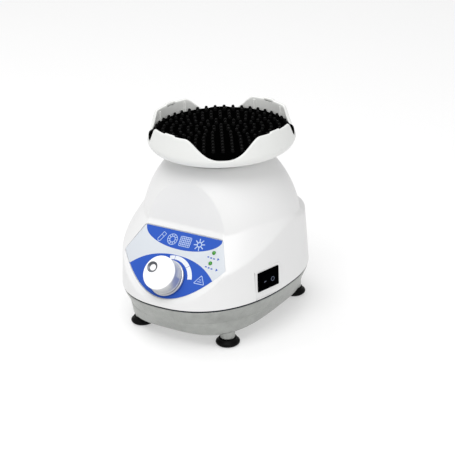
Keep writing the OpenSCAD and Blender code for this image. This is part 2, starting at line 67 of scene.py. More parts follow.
def box_mm(node):
    """Lowest and highest corner of a CAD node, in millimetres."""
    low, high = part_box(node)
    return np.array(low) / MM, np.array(high) / MM


def place_mm(joint_name):
    """Where a joint is, in millimetres."""
    return np.array(joint(joint_name)["pos_m"]) / MM


gasket_low, gasket_high = box_mm("seam_gasket")
GASKET_INSET = 0.9                            # the seam lies this far behind the wall
AXIS_Y = place_mm("rotor_spin")[1]            # the motor's and the dome's axis
MID_Y = AXIS_Y - 3                            # widest section of the oval outline
HALF_W = gasket_high[0] + GASKET_INSET
FRONT = MID_Y - gasket_low[1] + GASKET_INSET
BACK = gasket_high[1] + GASKET_INSET - MID_Y
SEAM_LOW = gasket_low[2]
GASKET_LOW = SEAM_LOW - 0.35                  # the seam is seen a little wider than the gasket is in CAD
SEAM_HIGH = gasket_high[2]
OVAL_FRONT_N = 2.34                           # exponent of the oval's front half, and of its back half
OVAL_BACK_N = 2.12
DRAFT = 0.055                                 # lean of the wall per millimetre

DOME_W = 60.7                                 # the dome's profile is an ellipse: half its width,
DOME_MID = 65.0                               # the height of its middle,
DOME_H = 73.6                                 # and half its height
DOME_TOP = box_mm("housing_shell")[1][2]
HOLE_R = 24.0                                 # hole in the dome for the neck

KNOB = place_mm("knob_turn")
OUT = np.array(joint("knob_turn")["axis"])    # out of the panel
TILT = math.atan2(-OUT[1], OUT[2])            # lean of the panel,
PANEL_D = float(KNOB @ OUT)                   # and its distance from the origin
RIM_H = 0.8                                   # the housing's rim stands this high above the overlay
BOSS_TILT = math.radians(7.6)                 # lean of the flat on the dome above the panel,
BOSS_D = 47.38                                # and its distance from the origin

CRANK = place_mm("head_spin")
TRAY_R = (box_mm("tray")[1][0] - box_mm("tray")[0][0]) / 2
PAD_TOP = box_mm("pad")[1][2]                 # the tops of the studs
NOTCH_DIR = 33.7                              # a wide notch, from the front towards the right
LOBE_TOP = box_mm("tray")[1][2] - 1.2         # a lobe beside its tab
NOTCH_TOP = 138.5                             # the rim at the bottom of a notch

SWITCH_TURN = math.radians(14.1)              # the switch faces this much forwards of the right side
PIVOT = place_mm("rocker_tilt")
PIVOT_DEPTH = 4.0                             # pivot behind the frame's face
SWITCH_L = 21.3                               # the frame, along the wall and up
SWITCH_H = 15.0
LIP = 0.7                                     # how far the frame stands out


# ---------------------------------------------------------------- places

def place(origin, x_axis, y_axis, z_axis):
    """Matrix from local millimetres to the CAD frame's millimetres."""
    m = np.eye(4)
    m[:3, 0] = x_axis
    m[:3, 1] = y_axis
    m[:3, 2] = z_axis
    m[:3, 3] = origin
    return m


def upright(x, y):
    """Upright coordinates about a vertical line at x, y."""
    return place([x, y, 0], *np.eye(3))


def moved(matrix, points):
    """Points in local millimetres, taken to the CAD frame."""
    points = np.asarray(points, float)
    return points @ matrix[:3, :3].T + matrix[:3, 3]


def place_on_panel(x, y):
    """Panel coordinates with their origin moved to x, y on the panel."""
    m = ON_PANEL.copy()
    m[:3, 3] = moved(ON_PANEL, [[x, y, 0]])[0]
    return m


UP = np.array([0.0, 0.0, 1.0])
WORLD = np.eye(4)
# Panel coordinates: across, up the slope, out of the panel
ON_PANEL = place(KNOB, [1, 0, 0], np.cross(OUT, [1, 0, 0]), OUT)
switch_back = np.array([math.sin(SWITCH_TURN), math.cos(SWITCH_TURN), 0])
switch_in = np.array([-math.cos(SWITCH_TURN), math.sin(SWITCH_TURN), 0])
# Switch coordinates: to the back, up, out of the side
ON_SWITCH = place(PIVOT - PIVOT_DEPTH * switch_in, switch_back, UP, -switch_in)
inlet_low, inlet_high = box_mm("inlet_body")
drawer_low, drawer_high = box_mm("fuse_drawer")
INLET_FACE = inlet_high[1]
INLET_MID = (inlet_low[2] + inlet_high[2]) / 2
# Inlet coordinates: to the left seen from behind, up, out of the back
ON_INLET = place([0, INLET_FACE, INLET_MID], [-1, 0, 0], [0, 0, 1], [0, 1, 0])
FLANGE_T = 2.6                                # thickness of the inlet's flange
INLET_W, INLET_H = (inlet_high - inlet_low)[[0, 2]]
DRAWER_MID = (drawer_low[2] + drawer_high[2]) / 2 - INLET_MID
ON_CRANK = upright(CRANK[0], CRANK[1])


# ---------------------------------------------------------------- meshes

def make_mesh(name, points, faces, matrix=WORLD, smooth_angle=32):
    """An object from points in millimetres; edges sharper than smooth_angle stay sharp."""
    mesh = bpy.data.meshes.new(name)
    mesh.from_pydata((moved(matrix, points) * MM).tolist(), [], faces)
    mesh.validate()
    fix_direction(mesh)
    shade(mesh, smooth_angle)
    obj = bpy.data.objects.new(name, mesh)
    bpy.context.scene.collection.objects.link(obj)
    return obj


def fix_direction(mesh):
    """Turns a closed mesh's faces outwards: its volume comes out positive."""
    mesh.calc_loop_triangles()
    corners = np.empty(len(mesh.loop_triangles) * 3, np.int32)
    mesh.loop_triangles.foreach_get("vertices", corners)
    co = np.empty(len(mesh.vertices) * 3)
    mesh.vertices.foreach_get("co", co)
    a, b, c = (co.reshape(-1, 3)[corners.reshape(-1, 3)[:, i]] for i in range(3))
    if np.einsum("ij,ij->i", a, np.cross(b, c)).sum() < 0:
        mesh.flip_normals()


def shade(mesh, angle):
    """Smooth shading, except over edges sharper than the angle in degrees."""
    mesh.shade_smooth()
    mesh.set_sharp_from_angle(angle=math.radians(angle))


def band_faces(rows, n, closed):
    """Quads between rows of n points each; closed joins the last row to the first."""
    faces = []
    for k in range(rows if closed else rows - 1):
        a, b = k * n, (k + 1) % rows * n
        faces += [(a + i, b + i, b + (i + 1) % n, a + (i + 1) % n) for i in range(n)]
    return faces


def skin(name, rows, matrix=WORLD, loop=False, smooth_angle=32):
    """A closed solid through rows of points: a loop of rows, or a stack with a flat cap at each end."""
    rows = np.asarray(rows, float)
    m, n = rows.shape[:2]
    faces = band_faces(m, n, loop)
    if not loop:
        faces.append(tuple(range(n)))
        faces.append(tuple(range(m * n - 1, (m - 1) * n - 1, -1)))
    return make_mesh(name, rows.reshape(-1, 3), faces, matrix, smooth_angle)


def circle(n, start=0.0):
    """n angles, all round."""
    return start + np.arange(n) * 2 * math.pi / n


def lathe(name, profile, matrix=WORLD, n=96, smooth_angle=32, loop=False):
    """Turns a profile of (radius, height) points about the local z axis."""
    a = circle(n)
    rows = [np.stack([r * np.cos(a), r * np.sin(a), np.full(n, z)], 1) for r, z in profile]
    return skin(name, rows, matrix, loop, smooth_angle)


def rounded(points, radius, steps=5, closed=False):
    """The polyline with curves for corners; radius, one or one per point, is what each takes of a side."""
    points = [np.array(p, float) for p in points]
    radii = radius if hasattr(radius, "__len__") else [radius] * len(points)
    out = []
    for i, p in enumerate(points):
        if not closed and i in (0, len(points) - 1):
            out.append(p)
            continue
        before, after = points[i - 1] - p, points[(i + 1) % len(points)] - p
        la, lb = np.linalg.norm(before), np.linalg.norm(after)
        cut = min(radii[i], la * 0.49, lb * 0.49)
        if cut < 1e-4:
            out.append(p)
            continue
        a, b = p + before / la * cut, p + after / lb * cut
        for t in np.linspace(0, 1, steps + 1):
            out.append((1 - t) ** 2 * a + 2 * t * (1 - t) * p + t * t * b)
    return out


def offset(outline, d):
    """A closed outline moved outwards by d, for outlines that run anticlockwise."""
    outline = np.asarray(outline, float)
    before = outline - np.roll(outline, 1, 0)
    after = np.roll(outline, -1, 0) - outline
    before /= np.linalg.norm(before, axis=1)[:, None]
    after /= np.linalg.norm(after, axis=1)[:, None]
    normal = np.stack([before[:, 1] + after[:, 1], -before[:, 0] - after[:, 0]], 1)
    normal /= np.linalg.norm(normal, axis=1)[:, None]
    reach = np.maximum(0.5, normal[:, 0] * after[:, 1] - normal[:, 1] * after[:, 0])
    return outline + normal * (d / reach)[:, None]


def at_height(outline, z):
    """An outline as a row of points at height z."""
    return np.c_[outline, np.full(len(outline), z)]


def slab(name, outline, low, high, matrix=WORLD, edge=0.0, steps=4):
    """A flat solid from a closed outline, whose edge at the high side is rounded by edge."""
    rows = [at_height(outline, low)]
    for t in np.linspace(0, math.pi / 2, steps + 1 if edge else 1):
        inset = edge * (1 - math.cos(t))
        rows.append(at_height(offset(outline, -inset), high - edge * (1 - math.sin(t))))
    return skin(name, rows, matrix)


def rectangle(w, h, r, centre=(0, 0), steps=6):
    """A rectangle's outline with corners rounded by r."""
    x, y = w / 2, h / 2
    corners = [(centre[0] + a * x, centre[1] + b * y) for a, b in ((-1, -1), (1, -1), (1, 1), (-1, 1))]
    return np.array(rounded(corners, r, steps, closed=True))


def joined(name, objects):
    """One object from several, each keeping its own material."""
    with bpy.context.temp_override(active_object=objects[0], selected_editable_objects=objects):
        bpy.ops.object.join()
    objects[0].name = name
    return objects[0]


def combine(obj, other, operation, smooth_angle=32):
    """Cuts other from obj, or adds it, and deletes other."""
    cut = obj.modifiers.new("cut", "BOOLEAN")
    cut.object = other
    cut.operation = operation
    cut.solver = "MANIFOLD"
    mesh = bpy.data.meshes.new_from_object(obj.evaluated_get(bpy.context.evaluated_depsgraph_get()))
    obj.modifiers.clear()
    obj.data = mesh
    shade(mesh, smooth_angle)
    bpy.data.objects.remove(other)
    return obj


# ---------------------------------------------------------------- the housing's surface

def smooth_step(a, b, x):
    """Rises from 0 at a to 1 at b."""
    t = np.clip((x - a) / (b - a), 0, 1)
    return t * t * (3 - 2 * t)


def soft_min(a, b, k):
    """The smaller of a and b, with the crease between them softened over a width k."""
    h = np.clip(0.5 + 0.5 * (b - a) / k, 0, 1)
    return b * (1 - h) + a * h - k * h * (1 - h)


def soft_max(a, b, k):
    """The larger of a and b, with a crease softened in the same way."""
    return -soft_min(-a, -b, k)


def dome_r(z):
    """Radius of the dome at height z."""
    return DOME_W * np.sqrt(np.maximum(0, 1 - ((z - DOME_MID) / DOME_H) ** 2))


def oval_r(th, inset, squarer=0.0):
    """Radius of the oval outline about its own middle."""
    half_y = np.where(np.cos(th) > 0, FRONT, BACK) - inset
    n = np.where(np.cos(th) > 0, OVAL_FRONT_N, OVAL_BACK_N) + squarer
    return (np.abs(np.sin(th) / (HALF_W - inset)) ** n + np.abs(np.cos(th) / half_y) ** n) ** (-1 / n)


def wall_r(th, z):
    """Radius of the drafted side wall about the dome's axis."""
    inset = (z - SEAM_LOW) * DRAFT
    r = np.full(np.broadcast(th, z).shape, 70.0)
    for _ in range(7):                        # each pass brings r closer to the outline
        x, y = r * np.sin(th), AXIS_Y - r * np.cos(th) - MID_Y
        half_y = np.where(y < 0, FRONT, BACK) - inset
        n = np.where(y < 0, OVAL_FRONT_N, OVAL_BACK_N)
        r = r / (np.abs(x / (HALF_W - inset)) ** n + np.abs(y / half_y) ** n) ** (1 / n)
    return r


def shoulder_r(th, z):
    """Radius of the slope from the dome down to the wall: steeper at the sides, flatter at the back."""
    t = np.degrees(np.abs(th))
    top = 82.5 + 4.0 * smooth_step(34, 60, t) - 8.0 * smooth_step(85, 122, t)
    slope = 1 + 0.45 * smooth_step(34, 72, t) - 1.1 * smooth_step(85, 125, t)
    return dome_r(top) + (top - z) / slope


def plane_r(th, z, tilt, d):
    """Radius of a plane that faces the front, tilted back, at a distance d from the origin."""
    across = math.sin(tilt) * np.maximum(0.05, np.cos(th))
    return (d + AXIS_Y * math.sin(tilt) - z * math.cos(tilt)) / across


def body_r(th, z):
    """Radius of the housing: wall, shoulder and dome, cut by the panel's plane and the flat above it."""
    side = soft_min(wall_r(th, z), shoulder_r(th, z), 1.0)
    body = soft_max(dome_r(z), side, 0.7)
    panel = plane_r(th, z, TILT, PANEL_D + RIM_H)
    boss = plane_r(th, z, math.pi / 2 - BOSS_TILT, BOSS_D)
    return soft_min(body, soft_max(panel, boss, 0.7), 0.45)


def about_axis(th, r, z):
    """Points at a radius about the dome's axis; th is 0 at the front."""
    return np.stack([r * np.sin(th), AXIS_Y - r * np.cos(th), np.broadcast_to(z, r.shape)], -1)


def housing_rows():
    """Rows of the shell's skin: from the seam up the outside, over the hole's edge and down the inside."""
    wall = 2.6
    front_end = math.radians(72)              # the panel and the facets need finer steps, up to here
    front = np.arange(-front_end, front_end, math.radians(0.4))
    back = np.arange(front_end, 2 * math.pi - front_end, math.radians(0.75))
    th = np.r_[front, back]
    th = np.where(th > math.pi, th - 2 * math.pi, th)
    seam_edge = [(SEAM_HIGH, 0.45), (SEAM_HIGH + 0.08, 0.2), (SEAM_HIGH + 0.25, 0.05)]
    rows = [about_axis(th, body_r(th, SEAM_HIGH) - inset, z) for z, inset in seam_edge]
    dome = DOME_MID + DOME_H * np.sin(np.radians(np.arange(22, 54.01, 0.7)))
    levels = np.r_[np.arange(SEAM_HIGH + 0.6, 46, 1.0), np.arange(46, 92.5, 0.4), dome]
    rows += [about_axis(th, body_r(th, np.full(th.shape, z)), z) for z in levels]
    flat = dome_r(dome[-1])
    lip = rounded([(flat - 0.1, dome[-1] + 0.03), (flat - 1.0, DOME_TOP), (HOLE_R, DOME_TOP),
                   (HOLE_R, DOME_TOP - wall), (flat - 2, DOME_TOP - wall - 0.4)], [0, 0.6, 0.5, 0.2, 0])
    rows += [about_axis(th, np.full(th.shape, r), z) for r, z in lip]
    for z in np.r_[np.arange(120, 60, -4.0), np.arange(60, 36, -6.0), SEAM_HIGH]:
        inner = np.minimum(body_r(th, z), body_r(th, z + wall)) - wall
        rows.append(about_axis(th, inner, z))
    return rows


def fit_switch(shell):
    """The flat for the switch, down to the seam, with the tub's hole and a groove in front of it."""
    low, high = SEAM_HIGH - PIVOT[2], SWITCH_H / 2 + 1.5
    middle = (low + high) / 2
    flat = rectangle(SWITCH_L + 4.5, high - low, 1.2, (-0.25, middle))
    combine(shell, slab("pad", flat, -6, -LIP, ON_SWITCH, edge=0.5), "UNION")
    combine(shell, slab("shave", offset(flat, -0.05), -LIP, 12, ON_SWITCH), "DIFFERENCE")
    combine(shell, slab("hole", rectangle(19.6, 13.2, 0.5), -20, 12, ON_SWITCH), "DIFFERENCE")
    groove = rectangle(0.7, high - low, 0.1, (-13.3, middle))
    combine(shell, slab("groove", groove, -LIP - 2.4, 6, ON_SWITCH), "DIFFERENCE")


def fit_inlet(shell):
    """The seat that the inlet's flange lies on, let into the rear wall, and the opening behind it."""
    seat = rectangle(INLET_W + 4, INLET_H + 4, 2)
    pocket = rectangle(INLET_W + 1, INLET_H + 1, 3)
    combine(shell, slab("seat", seat, -6.1, -FLANGE_T, ON_INLET), "UNION")
    combine(shell, slab("pocket", pocket, -FLANGE_T, 20, ON_INLET), "DIFFERENCE")
    combine(shell, slab("opening", rectangle(28.6, 27.6, 0.6), -20, 5, ON_INLET), "DIFFERENCE")


def build_housing():
    """The shell: a closed skin, cut for the switch, the inlet, the overlay and the pot."""
    shell = skin("housing", housing_rows(), loop=True)
    fit_switch(shell)
    fit_inlet(shell)
    combine(shell, build_recess(), "DIFFERENCE")
    combine(shell, slab("pot_hole", rectangle(7.2, 7.2, 3.5), -14, 10, ON_PANEL), "DIFFERENCE")
    return shell


def overlay_outline():
    """The overlay, anticlockwise: a straight top, slanted sides and a curved bottom."""
    steps = 61
    bottom = [(u, -15.3 + 0.0157 * u * u) for u in np.linspace(-43.7, 43.7, steps)]
    corners = [*bottom, (33.7, 36.7), (-33.7, 36.7)]
    radii = [1.2] + [0] * (steps - 2) + [1.2, 2.4, 2.4]
    return np.array(rounded(corners, radii, 6, closed=True))


def build_recess():
    """What is cut out of the panel for the overlay, with a soft edge at the rim."""
    outline = overlay_outline()
    gap, soft, floor = 0.2, 0.65, -0.8
    rows = [at_height(offset(outline, gap), floor)]
    for t in np.linspace(0, math.pi / 2, 6):
        grown = offset(outline, gap + soft * (1 - math.cos(t)))
        rows.append(at_height(grown, RIM_H - soft + soft * math.sin(t)))
    rows.append(at_height(offset(outline, gap + soft), 9.0))
    return skin("recess", rows, ON_PANEL)


# ---------------------------------------------------------------- materials

FINISHES = {}


def linear(rgb):
    """Linear colour and opacity from a colour in 0 to 255."""
    return [((c / 255 + 0.055) / 1.055) ** 2.4 if c > 10 else c / 255 / 12.92 for c in rgb] + [1]


def material(name, rgb, rough, metallic=0.0, grain=900, bump=0.03, tint=0.05, coat=0.0, glow=0.0,
             shine=0.5, cloud=28):
    """Adds a finish whose colour drifts slowly and whose gloss and surface vary with a fine grain."""
    mat = bpy.data.materials.new(name)
    mat.use_nodes = True
    nodes, links = mat.node_tree.nodes, mat.node_tree.links
    surface = nodes["Principled BSDF"]
    where = nodes.new("ShaderNodeTexCoord")
    drift, fine = nodes.new("ShaderNodeTexNoise"), nodes.new("ShaderNodeTexNoise")
    drift.inputs["Scale"].default_value = cloud
    drift.inputs["Detail"].default_value = 3
    fine.inputs["Scale"].default_value = grain
    fine.inputs["Detail"].default_value = 4
    links.new(where.outputs["Object"], drift.inputs["Vector"])
    links.new(where.outputs["Object"], fine.inputs["Vector"])
    mix = nodes.new("ShaderNodeMix")
    mix.data_type = "RGBA"
    base = linear(rgb)
    mix.inputs["A"].default_value = [c * (1 - tint) for c in base[:3]] + [1]
    mix.inputs["B"].default_value = [min(1, c * (1 + tint)) for c in base[:3]] + [1]
    links.new(drift.outputs["Fac"], mix.inputs["Factor"])
    links.new(mix.outputs["Result"], surface.inputs["Base Color"])
    gloss = nodes.new("ShaderNodeMapRange")
    gloss.inputs["To Min"].default_value = max(0.02, rough - 0.06)
    gloss.inputs["To Max"].default_value = min(1, rough + 0.06)
    links.new(fine.outputs["Fac"], gloss.inputs["Value"])
    links.new(gloss.outputs["Result"], surface.inputs["Roughness"])
    relief = nodes.new("ShaderNodeBump")
    relief.inputs["Strength"].default_value = bump
    relief.inputs["Distance"].default_value = 0.0004
    links.new(fine.outputs["Fac"], relief.inputs["Height"])
    links.new(relief.outputs["Normal"], surface.inputs["Normal"])
    surface.inputs["Metallic"].default_value = metallic
    surface.inputs["Specular IOR Level"].default_value = shine
    surface.inputs["Coat Weight"].default_value = coat
    surface.inputs["Coat Roughness"].default_value = 0.12
    if glow:
        surface.inputs["Emission Color"].default_value = base
        surface.inputs["Emission Strength"].default_value = glow
    FINISHES[name] = mat


material("housing_white", (226, 226, 226), 0.38, grain=1500, bump=0.02, tint=0.01)
material("tray_white", (224, 225, 223), 0.4, grain=1500, bump=0.02, tint=0.01)
# Painted light: a lighter copy of tray_white, for the faces inside the tray's rim
material("tray_white_painted_light", (246, 247, 244), 0.4, grain=1500, bump=0.02, tint=0.01)
material("base_metal", (162, 164, 161), 0.36, 0.72, grain=700, bump=1.2, tint=0.2, cloud=150)
material("rubber_black", (2, 2, 2), 0.7, grain=1200, bump=0.15, tint=0.2, shine=0.0)
material("stud_rubber", (4, 4, 4), 0.45, grain=1200, bump=0.1, tint=0.2, shine=0.07)
material("foot_rubber", (8, 8, 8), 0.45, grain=1400, bump=0.12, tint=0.2, shine=0.08)
material("gasket", (20, 24, 36), 0.6, grain=1200, bump=0.1, tint=0.1, shine=0.05)
material("overlay_print", (205, 210, 216), 0.42, grain=2200, bump=0.05, tint=0.01)
material("ink_blue", (46, 86, 181), 0.42, grain=2200, bump=0.05, tint=0.03, shine=0.15)
material("ink_light", (176, 196, 228), 0.45, grain=2200, bump=0.05, tint=0.03)
material("ink_white", (226, 230, 235), 0.45, grain=2200, bump=0.05, tint=0.02)
material("ink_grey", (84, 94, 116), 0.45, grain=2200, bump=0.05, tint=0.03)
material("led_green", (50, 138, 28), 0.25, grain=800, bump=0.02, tint=0.1, coat=0.3, glow=0.03)
material("board_green", (24, 92, 52), 0.45, grain=700, bump=0.1, tint=0.15, coat=0.3)
material("screw_steel", (196, 197, 200), 0.3, 1, grain=1100, bump=0.06)
material("brass", (206, 172, 96), 0.32, 1, grain=1000, bump=0.06)
material("knob_metal", (204, 205, 206), 0.3, 0.65, grain=1500, bump=0.05)
# Painted reflection: dark grey on the dimple's wall for the dark surroundings it reflects
material("dimple_painted_reflection", (100, 103, 108), 0.35, 0.8, grain=1500, bump=0.05)
# Painted reflection: the knob's polished face is painted near white for the bright surroundings it
# reflects
material("knob_white", (253, 253, 254), 0.16, grain=1500, bump=0.01, tint=0.01, coat=0.8)
material("black_plastic", (3, 3, 4), 0.5, grain=1300, bump=0.1, tint=0.15, shine=0.0)
material("contact_plate", (205, 202, 190), 0.28, 1, grain=1000, bump=0.05)
material("ceramic_fuse", (226, 224, 214), 0.3, grain=900, bump=0.04)
material("ballast_steel", (118, 120, 124), 0.5, 1, grain=500, bump=0.2, tint=0.12)
material("transformer", (196, 150, 46), 0.5, grain=600, bump=0.15, tint=0.1)
material("spring_steel", (160, 162, 166), 0.3, 1, grain=1200, bump=0.05)
material("plunger_red", (196, 44, 32), 0.4, grain=1200, bump=0.05)
material("motor_steel", (78, 82, 88), 0.42, 0.8, grain=900, bump=0.08, tint=0.1)
material("lamination", (112, 114, 118), 0.45, 1, grain=2000, bump=0.3, tint=0.15)
material("copper", (190, 108, 56), 0.35, 1, grain=1600, bump=0.3, tint=0.15)
material("machined_aluminium", (182, 184, 188), 0.34, 1, grain=1800, bump=0.08)
material("bearing_steel", (206, 208, 212), 0.2, 1, grain=1500, bump=0.03)


def dress(obj, finish):
    """Gives the whole object one finish."""
    obj.data.materials.clear()
    obj.data.materials.append(FINISHES[finish])
    return obj


def show(obj, body, finish, *nodes, slot=None):
    """Dresses a piece, puts it on its body and in place of the CAD nodes it stands for."""
    if finish:
        dress(obj, finish)
    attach(obj, body)
    if nodes:
        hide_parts(*nodes)
    return obj


# The CAD nodes that stay as they are, by finish
KEPT = {
    "board_green": ["control_board", "power_board"],
    "brass": ["board_standoffs", "power_standoffs", "counterweight"],
    "screw_steel": ["foot_screws", "board_screws", "inlet_screws", "ballast_screws", "bracket_screws",
                    "motor_screws", "tray_screws", "pot_nut", "pot_shaft", "guide_posts", "post_caps"],
    "black_plastic": ["neck_collar", "touch_switch", "speed_pot"],
    "motor_steel": ["knob_set_screw", "hub_set_screw", "motor_can"],
    "contact_plate": ["switch_terminals", "inlet_pins"],
    "ceramic_fuse": ["fuse_link"],
    "ballast_steel": ["ballast_plate"],
    "transformer": ["power_transformer"],
    "plunger_red": ["touch_plunger"],
    "lamination": ["stator_core", "rotor_core"],
    "copper": ["stator_windings"],
    "machined_aluminium": ["motor_plate", "touch_bracket", "end_bell", "eccentric_hub", "head_hub"],
    "bearing_steel": ["lower_bearing", "upper_bearing", "motor_shaft", "head_bearing"],
}
for finish, names in KEPT.items():
    for node in names:
        dress(frame["nodes"][node], finish)


# ---------------------------------------------------------------- touch springs

SPRING_LOW, SPRING_HIGH = box_mm("touch_springs")
SPRING_LENGTH = SPRING_HIGH[2] - SPRING_LOW[2]


def build_springs():
    """The four coil springs under the motor plate."""
    wire = 0.7                                # radius of the wire
    mean = 4.8                                # radius of the coil, to the middle of the wire
    turns = 5
    reach = mean + wire
    angle = np.linspace(0, turns * 2 * math.pi, turns * 36 + 1)[:, None]
    height = SPRING_LOW[2] + wire + (SPRING_LENGTH - 2 * wire) * angle / angle[-1]
    around = circle(12)[None, :]
    coils = []
    for x in (SPRING_LOW[0] + reach, SPRING_HIGH[0] - reach):
        for y in (SPRING_LOW[1] + reach, SPRING_HIGH[1] - reach):
            r = mean + wire * np.cos(around)
            z = height + wire * np.sin(around)
            rows = np.stack([x + r * np.cos(angle), y + r * np.sin(angle), z], 2)
            coils.append(skin("touch_springs", rows, smooth_angle=50))
    return joined("touch_springs", coils)


springs = show(build_springs(), "root", "spring_steel", "touch_springs")
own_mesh(springs)


# ---------------------------------------------------------------- housing

show(build_housing(), "root", "housing_white", "housing_shell")


# ---------------------------------------------------------------- base, feet and gasket

foot_low, foot_high = box_mm("foot_front_right")
FOOT_X, FOOT_FRONT = (foot_low + foot_high)[:2] / 2
FOOT_REAR = sum(box_mm("foot_rear_right"))[1] / 2
FOOT_R = (foot_high - foot_low)[0] / 2
FEET = {"front_left": (-FOOT_X, FOOT_FRONT), "front_right": (FOOT_X, FOOT_FRONT),
        "rear_left": (-FOOT_X, FOOT_REAR), "rear_right": (FOOT_X, FOOT_REAR)}


def oval_row(inset, z, squarer=0.0):
    """One row of the base's or the gasket's outline, set in from the seam's oval."""
    th = circle(240, -math.pi)
    r = oval_r(th, inset, squarer)
    return np.stack([r * np.sin(th), MID_Y - r * np.cos(th), np.full(len(th), z)], 1)


def build_base():
    """The cast pan: a steep upper band over a crease, a squarer lower band and four foot bosses."""
    under, crease, top = 11.5, 22.0, GASKET_LOW - 0.05
    # The side as (inset, height), from the underside up the outside and down the inside
    side = [(14.4, under), (12.6, under + 0.1), (11.9, under + 0.8), (6.0, crease - 0.8), (5.7, crease),
            (0.9, top - 1.2), (0.75, top - 0.4), (1.1, top), (4.4, top), (4.5, top - 0.4), (9.5, 20),
            (15, 14)]
    side = rounded(side, [0, 0.5, 0.8, 0.4, 0.4, 1.0, 0.4, 0.3, 0.2, 0.2, 1, 0], 5)
    squarest = 0.95
    rows = [oval_row(inset, z, squarest * max(0, crease - z) / (crease - under)) for inset, z in side]
    base = skin("base", rows, smooth_angle=28)
    boss_profile = rounded([(5.1, 5.5), (5.6, 6.0), (5.6, 18)], 0.4)
    for x, y in FEET.values():
        combine(base, lathe("boss", boss_profile, upright(x, y), 64), "UNION", 28)
    return base


def build_foot(x, y, name):
    """A turned rubber foot with a flat ring underneath, a bulge and a hole for its screw."""
    profile = rounded([(2.1, 3.6), (4.2, 3.6), (4.2, 0), (FOOT_R - 1.6, 0), (FOOT_R, 1.4), (FOOT_R, 2.9),
                       (FOOT_R - 2.2, 4.7), (6.9, 5.4), (5.9, 5.4), (5.75, 5.2), (2.1, 5.2)],
                      [0, 0.1, 0.3, 0.8, 0.8, 1.0, 0.8, 0.4, 0.3, 0.1, 0], 4)
    return lathe("foot_" + name, profile, upright(x, y), 96, loop=True, smooth_angle=40)


def build_gasket():
    """The dark seam: a flat ring with softened outer edges."""
    low, high = GASKET_LOW + 0.02, SEAM_HIGH - 0.02
    soft, inner = 0.18, 2.9
    section = [(GASKET_INSET + 0.1, low), (GASKET_INSET, low + soft), (GASKET_INSET, high - soft),
               (GASKET_INSET + 0.1, high), (inner, high), (inner, low)]
    return skin("gasket", [oval_row(inset, z) for inset, z in section], loop=True)


show(build_base(), "root", "base_metal", "base_casting")
for name, (x, y) in FEET.items():
    show(build_foot(x, y, name), "root", "foot_rubber", "foot_" + name, slot="rubber_black")
show(build_gasket(), "root", "gasket", "seam_gasket")


# ---------------------------------------------------------------- tray and pad

TAB_DIR = 46.3                                # from a wide notch to the tab in the middle of a lobe
RIM_LOW = 137.5                               # where the bowl turns into the rim


def from_wide_notch(th):
    """Degrees between a direction and the nearest wide notch; the narrow notches are at 90."""
    return np.abs((np.degrees(th) - NOTCH_DIR + 90) % 180 - 90)


def rim_height(th):
    """Height of the rim: four lobes between two wide and two narrow notches; each lobe has a low tab."""
    a = from_wide_notch(th)
    wide = smooth_step(0, 1, np.clip(a / 31, 0, 1) ** 1.5)
    narrow = smooth_step(0, 1, np.clip((90 - a) / 24, 0, 1) ** 2.4)
    tab = smooth_step(5.6, 4.6, np.abs(a - TAB_DIR))
    return NOTCH_TOP + (LOBE_TOP - NOTCH_TOP) * np.minimum(wide, narrow) + tab


def facing_out(direction, distance):
    """Coordinates at a distance from the crank's axis: across, up, outwards. 0 degrees is the front."""
    angle = math.radians(direction)
    outwards = np.array([math.sin(angle), -math.cos(angle), 0])
    return place([CRANK[0], CRANK[1], 0] + outwards * distance, np.cross(UP, outwards), UP, outwards)


def lighten_inside(tray):
    """Painted light inside the rim: the inward faces get a lighter copy of the tray's white, in place of
    the light that the black pad keeps from bouncing up.
    """
    dress(tray, "tray_white")
    tray.data.materials.append(FINISHES["tray_white_painted_light"])
    for face in tray.data.polygons:
        centre = np.array(face.center) / MM
        outwards = centre[:2] - CRANK[:2]
        distance = np.linalg.norm(outwards)
        faces_in = np.dot(face.normal[:2], outwards) < -0.4 * distance
        if faces_in and distance < TRAY_R - 1.5 and centre[2] > RIM_LOW - 0.5:
            face.material_index = 1
    return tray


